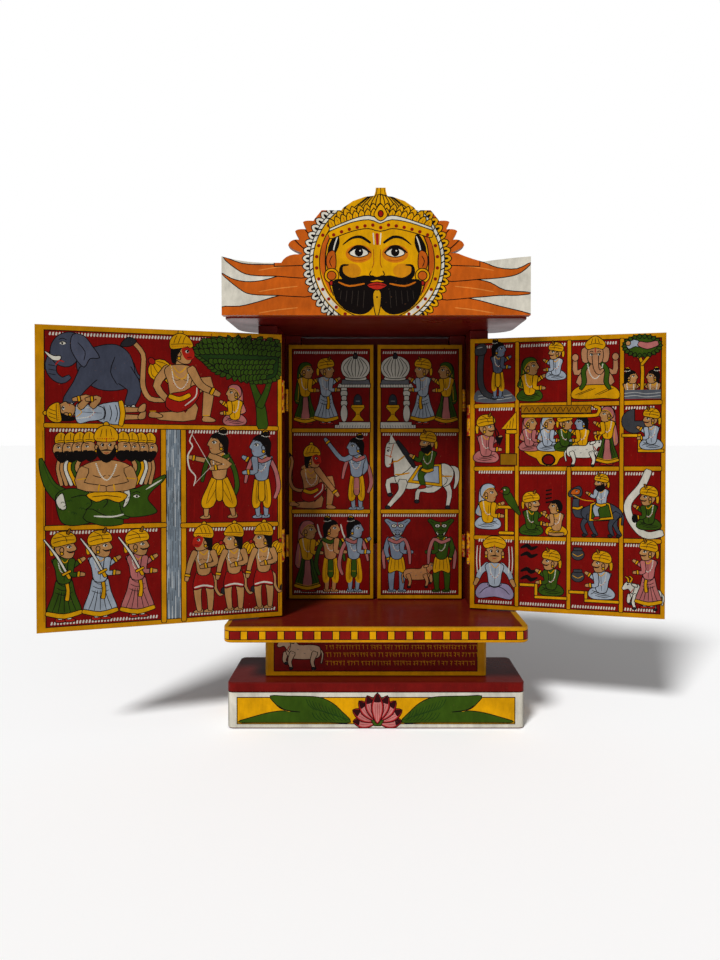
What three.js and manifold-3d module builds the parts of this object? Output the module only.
// A folding shrine box: a painted wooden cabinet on a stepped base, with a cut-out crown,
// two tall outer doors that fold over each other and a pair of inner doors before the sanctum.
// Millimetres, +Z up, the viewer stands at -Y. The origin is the centre of the plinth's underside.

import * as THREE from 'three';
import { mergeVertices } from 'three/addons/utils/BufferGeometryUtils.js';
import Module from 'manifold-3d';

const wasm = await Module();
wasm.setup();

// ---------------------------------------------------------------- driving dimensions

const GAP = 0.3; // between two pieces that touch
const EDGE = 0.8; // sanded edge of a board

// Depths are measured back from the shelf's front edge, which lies at this y.
const SHELF_FRONT_Y = -60;

const PLINTH = { halfWidth: 145, front: 20, depth: 80, height: 45, corner: 6 };
const PEDESTAL = { halfWidth: 110.5, front: 38, depth: 52, height: 44, corner: 2 };

// The shelf and the roof share one plan: wide in front, as wide as the cabinet behind.
const BOARD = { halfWidth: 145, thickness: 15, frontCorner: 9, shoulderDepth: 105.5, back: 142.7 };
const ROOF_THICKNESS = 12;

const CABINET = { innerHalf: 99.5, outerHalf: 118.5, clearHeight: 292.5, back: 137.4 };
const WALL_FRONT = { left: 49, right: 81 };
const BACK_PANEL_THICKNESS = 5;
const POST = { innerHalf: 82.6, front: 119.5 };
const STEP = { height: 61, depth: 12 };

const CROWN = { halfWidth: 145, thickness: 9, lift: 1.2, tipHeight: 55, dipHeight: 49 };
const MEDALLION = { radius: 70.5, centreHeight: 49.4, shoulderHeight: 98 };
const DOME = { centreX: 2.4, centreHeight: 84, halfWidth: 41, rise: 28 };
const FINIAL = { centreX: 4.2, bottomHalf: 12, topHalf: 4.6, top: 119, foot: 105 };

const DOOR_HEIGHT = 280;
const DOOR_LIFT = 1.2;
// width is from the hinge axis to the free edge; open is the angle from closed that the doors stand at.
const DOORS = {
  left_door: {
    side: 1, axisX: -93.8, axisDepth: 46, width: 226, thickness: 8, open: -163.3,
    hingeHeights: [71, 220], hinge: 'outer', wallX: -CABINET.innerHalf,
  },
  right_door: {
    side: -1, axisX: 98.2, axisDepth: 78, width: 192, thickness: 8, open: 166,
    hingeHeights: [62, 197], hinge: 'outer', wallX: CABINET.innerHalf,
  },
  left_inner_door: {
    side: 1, axisX: -97.3, axisDepth: 111, width: 95.05, thickness: 6, open: 0,
    hingeHeights: [60, 220], hinge: 'inner', wallX: -CABINET.innerHalf,
  },
  right_inner_door: {
    side: -1, axisX: 97.3, axisDepth: 111, width: 95.05, thickness: 6, open: 0,
    hingeHeights: [60, 220], hinge: 'inner', wallX: CABINET.innerHalf,
  },
};

// Butt hinges: the barrel stands at the door's outer face. boardStart and boardBack are where the
// board begins, across and through, from the barrel's axis.
const HINGES = {
  outer: {
    height: 32, barrel: 2.0, hole: 1.3, pin: 0.9, middle: 12, leaf: 1.0, frameLeafDepth: 15,
    boardStart: 2.1, boardBack: 0.9, leafStart: 0.8, leafBack: 2.5,
  },
  inner: {
    height: 24, barrel: 1.6, hole: 1.0, pin: 0.6, middle: 9, leaf: 0.8, frameLeafDepth: 8.2,
    boardStart: 1.9, boardBack: 0.8, leafStart: 0.7, leafBack: 2.0,
  },
};
const KNUCKLE_SIDES = 16;
const CURVE_STEPS = 5;

// ---------------------------------------------------------------- levels

const PEDESTAL_Z = PLINTH.height + GAP;
const SHELF_Z = PEDESTAL_Z + PEDESTAL.height + GAP;
const SHELF_TOP = SHELF_Z + BOARD.thickness;
const ROOF_Z = SHELF_TOP + CABINET.clearHeight;
const INSIDE_Z = SHELF_TOP + GAP;
const INSIDE_HEIGHT = CABINET.clearHeight - 2 * GAP;

const behind = (depth) => SHELF_FRONT_Y + depth;

// ---------------------------------------------------------------- materials

const paint = (hex, roughness = 0.35) => new THREE.MeshStandardMaterial({ color: hex, roughness, metalness: 0 });
const redLacquer = () => paint(0x7a1410);
const mustard = () => paint(0xc98f10);
const crownOrange = () => paint(0xb8541a);
const hingeSteel = () => new THREE.MeshStandardMaterial({ color: 0x9b7a32, roughness: 0.45, metalness: 0.7 });

// ---------------------------------------------------------------- solids

const shrine = new THREE.Group();

function addPiece(parent, name, geometry, material) {
  const mesh = new THREE.Mesh(geometry, material);
  mesh.name = name;
  parent.add(mesh);
  return mesh;
}

function toSolid(geometry) {
  const bare = geometry.clone();
  bare.deleteAttribute('normal');
  bare.deleteAttribute('uv');
  const merged = mergeVertices(bare, 1e-4);
  return new wasm.Manifold(new wasm.Mesh({
    numProp: 3,
    vertProperties: new Float32Array(merged.attributes.position.array),
    triVerts: new Uint32Array(merged.index.array),
  }));
}

function toGeometry(solid) {
  const mesh = solid.getMesh();
  const geometry = new THREE.BufferGeometry();
  geometry.setAttribute('position', new THREE.BufferAttribute(new Float32Array(mesh.vertProperties), 3));
  geometry.setIndex(new THREE.BufferAttribute(new Uint32Array(mesh.triVerts), 1));
  geometry.computeVertexNormals();
  return geometry;
}

const join = (geometries) => geometries.map(toSolid).reduce((whole, piece) => whole.add(piece));

function box(x0, x1, y0, y1, z0, z1) {
  const geometry = new THREE.BoxGeometry(Math.abs(x1 - x0), Math.abs(y1 - y0), Math.abs(z1 - z0));
  geometry.translate((x0 + x1) / 2, (y0 + y1) / 2, (z0 + z1) / 2);
  return geometry;
}

function upright(radius, x, y, z0, z1) {
  const geometry = new THREE.CylinderGeometry(radius, radius, z1 - z0, KNUCKLE_SIDES);
  geometry.rotateX(Math.PI / 2);
  geometry.translate(x, y, (z0 + z1) / 2);
  return geometry;
}

// A board cut to a plan outline and laid flat, its faces at z0 and z0 + thickness.
function flatBoard(outline, z0, thickness, edge = EDGE) {
  const geometry = new THREE.ExtrudeGeometry(outline, {
    depth: thickness - 2 * edge, bevelEnabled: edge > 0, bevelThickness: edge, bevelSize: edge,
    bevelOffset: -edge, bevelSegments: 2, curveSegments: CURVE_STEPS,
  });
  geometry.translate(0, 0, z0 + edge);
  return geometry;
}

// A board cut to a front outline (x across, y up) and stood up, from front to front + thickness.
function standingBoard(outline, front, thickness, edge = EDGE) {
  const geometry = flatBoard(outline, 0, thickness, edge);
  geometry.rotateX(Math.PI / 2);
  geometry.translate(0, front + thickness, 0);
  return geometry;
}

function rectangle(x0, x1, y0, y1) {
  const outline = new THREE.Shape();
  outline.moveTo(x0, y0);
  outline.lineTo(x1, y0);
  outline.lineTo(x1, y1);
  outline.lineTo(x0, y1);
  outline.closePath();
  return outline;
}

function roundedRectangle(x0, x1, y0, y1, radius) {
  const outline = new THREE.Shape();
  outline.absarc(x1 - radius, y0 + radius, radius, -Math.PI / 2, 0);
  outline.absarc(x1 - radius, y1 - radius, radius, 0, Math.PI / 2);
  outline.absarc(x0 + radius, y1 - radius, radius, Math.PI / 2, Math.PI);
  outline.absarc(x0 + radius, y0 + radius, radius, Math.PI, 1.5 * Math.PI);
  outline.closePath();
  return outline;
}

// ---------------------------------------------------------------- base

function block(size, z0) {
  const outline = roundedRectangle(
    -size.halfWidth, size.halfWidth, behind(size.front), behind(size.front + size.depth), size.corner,
  );
  return flatBoard(outline, z0, size.height);
}

// Rounded front corners, straight sides, and shoulders rounded in to the cabinet's width.
function boardPlan(front) {
  const half = BOARD.halfWidth;
  const corner = BOARD.frontCorner;
  const shoulder = half - CABINET.outerHalf;
  const y0 = behind(front);
  const turnY = behind(BOARD.shoulderDepth - shoulder);
  const backY = behind(BOARD.back);
  const outline = new THREE.Shape();
  outline.absarc(half - corner, y0 + corner, corner, -Math.PI / 2, 0);
  outline.absarc(half - shoulder, turnY, shoulder, 0, Math.PI / 2);
  outline.lineTo(half - shoulder, backY);
  outline.lineTo(shoulder - half, backY);
  outline.absarc(shoulder - half, turnY, shoulder, Math.PI / 2, Math.PI);
  outline.absarc(corner - half, y0 + corner, corner, Math.PI, 1.5 * Math.PI);
  outline.closePath();
  return outline;
}

addPiece(shrine, 'plinth', block(PLINTH, 0), redLacquer());
addPiece(shrine, 'pedestal_block', block(PEDESTAL, PEDESTAL_Z), redLacquer());
addPiece(shrine, 'shelf_board', flatBoard(boardPlan(0), SHELF_Z, BOARD.thickness), redLacquer());

// ---------------------------------------------------------------- cabinet

function panel(name, x0, x1, depth0, depth1, height, material) {
  const outline = rectangle(x0, x1, behind(depth0), behind(depth1));
  return addPiece(shrine, name, flatBoard(outline, INSIDE_Z, height), material);
}

panel('left_wall', -CABINET.outerHalf, -CABINET.innerHalf, WALL_FRONT.left, CABINET.back, INSIDE_HEIGHT, redLacquer());
panel('right_wall', CABINET.innerHalf, CABINET.outerHalf, WALL_FRONT.right, CABINET.back, INSIDE_HEIGHT, redLacquer());

const postOuter = CABINET.innerHalf - GAP;
panel('left_post', -postOuter, -POST.innerHalf, POST.front, CABINET.back, INSIDE_HEIGHT, redLacquer());
panel('right_post', POST.innerHalf, postOuter, POST.front, CABINET.back, INSIDE_HEIGHT, redLacquer());

const stepHalf = POST.innerHalf - GAP;
panel('sanctum_step', -stepHalf, stepHalf, POST.front, POST.front + STEP.depth, STEP.height, redLacquer());

const backFront = CABINET.back + GAP;
panel('back_panel', -CABINET.outerHalf, CABINET.outerHalf, backFront, backFront + BACK_PANEL_THICKNESS,
  INSIDE_HEIGHT, redLacquer());

const roofFront = CROWN.thickness + GAP;
addPiece(shrine, 'roof_board', flatBoard(boardPlan(roofFront), ROOF_Z, ROOF_THICKNESS), redLacquer());

// ---------------------------------------------------------------- crown

// Each outline is drawn on the crown's face: x across, y up from the crown's bottom edge.

function leftWing() {
  const outline = new THREE.Shape();
  outline.moveTo(-CROWN.halfWidth, 0);
  outline.lineTo(0, 0);
  outline.lineTo(0, CROWN.tipHeight);
  outline.lineTo(-72, CROWN.tipHeight + 2);
  outline.quadraticCurveTo(-85, CROWN.tipHeight + 2.5, -89, CROWN.dipHeight);
  outline.lineTo(-106, CROWN.dipHeight);
  outline.quadraticCurveTo(-126, CROWN.dipHeight + 0.5, -CROWN.halfWidth, CROWN.tipHeight);
  outline.closePath();
  return outline;
}

function rightWing() {
  const outline = new THREE.Shape();
  outline.moveTo(0, 0);
  outline.lineTo(CROWN.halfWidth, 0);
  outline.lineTo(CROWN.halfWidth, CROWN.tipHeight);
  outline.quadraticCurveTo(124, CROWN.tipHeight - 1.5, 100, CROWN.dipHeight + 1);
  outline.quadraticCurveTo(88, CROWN.dipHeight + 4, 76, CROWN.tipHeight + 3);
  outline.lineTo(0, CROWN.tipHeight + 3);
  outline.closePath();
  return outline;
}

// The medallion's disc, cut level below at the crown's edge and above at the turban's shoulders.
function medallion() {
  const low = Math.asin(-MEDALLION.centreHeight / MEDALLION.radius);
  const high = Math.asin((MEDALLION.shoulderHeight - MEDALLION.centreHeight) / MEDALLION.radius);
  const outline = new THREE.Shape();
  outline.absarc(0, MEDALLION.centreHeight, MEDALLION.radius, low, high);
  outline.absarc(0, MEDALLION.centreHeight, MEDALLION.radius, Math.PI - high, Math.PI - low);
  outline.closePath();
  return outline;
}

function dome() {
  const outline = new THREE.Shape();
  outline.absellipse(DOME.centreX, DOME.centreHeight, DOME.halfWidth, DOME.rise, 0, Math.PI, false, 0);
  outline.closePath();
  return outline;
}

function finial() {
  const outline = new THREE.Shape();
  outline.moveTo(FINIAL.centreX - FINIAL.bottomHalf, FINIAL.foot);
  outline.lineTo(FINIAL.centreX + FINIAL.bottomHalf, FINIAL.foot);
  outline.quadraticCurveTo(FINIAL.centreX + FINIAL.topHalf, FINIAL.foot + 5, FINIAL.centreX + FINIAL.topHalf, FINIAL.top);
  outline.lineTo(FINIAL.centreX - FINIAL.topHalf, FINIAL.top);
  outline.quadraticCurveTo(FINIAL.centreX - FINIAL.topHalf, FINIAL.foot + 5, FINIAL.centreX - FINIAL.bottomHalf, FINIAL.foot);
  outline.closePath();
  return outline;
}

// One short flame that leans out of the medallion's edge; side is -1 on the left.
const FLAMES = [
  { tip: [82.5, 65.6], top: [72, 70.6], bottom: [70.5, 58.5] },
  { tip: [76, 78.4], top: [65, 80.2], bottom: [70.5, 69.5] },
  { tip: [68.6, 87], top: [58, 88], bottom: [64, 78] },
];

function flame({ tip, top, bottom }, side) {
  const root = 50;
  const outline = new THREE.Shape();
  outline.moveTo(side * root, bottom[1]);
  outline.lineTo(side * bottom[0], bottom[1]);
  outline.quadraticCurveTo(side * (tip[0] - 2), (tip[1] + bottom[1]) / 2, side * tip[0], tip[1]);
  outline.quadraticCurveTo(side * (tip[0] - 2), top[1] + 1, side * top[0], top[1]);
  outline.lineTo(side * root, top[1]);
  outline.closePath();
  return outline;
}

function crownSolid() {
  const outlines = [leftWing(), rightWing(), medallion(), dome(), finial()];
  for (const side of [-1, 1]) {
    outlines.push(...FLAMES.map((one) => flame(one, side)));
  }
  const sawn = outlines.map((outline) => standingBoard(outline, behind(0), CROWN.thickness, 0));
  return toGeometry(join(sawn));
}

const crown = addPiece(shrine, 'crown_board', crownSolid(), crownOrange());
crown.position.z = ROOF_Z + CROWN.lift;

// ---------------------------------------------------------------- doors and hinges

// A door is modelled closed, about its hinge axis: side gives the way from hinge to free edge,
// +Y is towards the door's inner face. Its group then turns it to where it stands.

function doorBoard(door, hinge) {
  const outline = rectangle(
    ...[hinge.boardStart * door.side, door.width * door.side].sort((a, b) => a - b), 0, DOOR_HEIGHT,
  );
  return standingBoard(outline, hinge.boardBack, door.thickness);
}

function movingLeaf(door, hinge, centre) {
  const z0 = centre - hinge.height / 2;
  const z1 = centre + hinge.height / 2;
  const midLow = centre - hinge.middle / 2;
  const midHigh = centre + hinge.middle / 2;
  const near = hinge.leafStart * door.side;
  const far = (hinge.leafStart + hinge.leaf) * door.side;
  const inner = hinge.boardBack + door.thickness - EDGE;
  const plate = box(near, far, hinge.leafBack, inner, z0, z1);
  const neck = box(0, far, 0, hinge.leafBack + 0.2, midLow, midHigh);
  const knuckle = upright(hinge.barrel, 0, 0, midLow, midHigh);
  const hole = upright(hinge.hole, 0, 0, z0, z1);
  return toGeometry(join([plate, neck, knuckle]).subtract(toSolid(hole)));
}

function fixedLeaf(door, hinge, centre) {
  const z0 = centre - hinge.height / 2;
  const z1 = centre + hinge.height / 2;
  const midLow = centre - hinge.middle / 2 - GAP;
  const midHigh = centre + hinge.middle / 2 + GAP;
  const wallSide = door.wallX + GAP * door.side - door.axisX;
  const openSide = wallSide + hinge.leaf * door.side;
  const pieces = [
    box(wallSide, openSide, hinge.leafBack, hinge.frameLeafDepth, z0, z1),
    upright(hinge.pin, 0, 0, z0, z1),
  ];
  for (const [low, high] of [[z0, midLow], [midHigh, z1]]) {
    pieces.push(upright(hinge.barrel, 0, 0, low, high));
    pieces.push(box(wallSide, 0, 0.5, hinge.leafBack + 0.2, low, high));
  }
  return toGeometry(join(pieces));
}

for (const [name, door] of Object.entries(DOORS)) {
  const hinge = HINGES[door.hinge];
  const frame = new THREE.Group();
  frame.position.set(door.axisX, behind(door.axisDepth), SHELF_TOP);
  shrine.add(frame);
  const leafGroup = new THREE.Group();
  leafGroup.rotation.z = THREE.MathUtils.degToRad(door.open);
  frame.add(leafGroup);

  const board = addPiece(leafGroup, `${name}_board`, doorBoard(door, hinge), redLacquer());
  board.position.z = DOOR_LIFT;
  door.hingeHeights.forEach((centre, i) => {
    addPiece(leafGroup, `${name}_hinge_${i + 1}_door_leaf`, movingLeaf(door, hinge, centre), hingeSteel());
    addPiece(frame, `${name}_hinge_${i + 1}_frame_leaf`, fixedLeaf(door, hinge, centre), mustard());
  });
}

export default shrine;
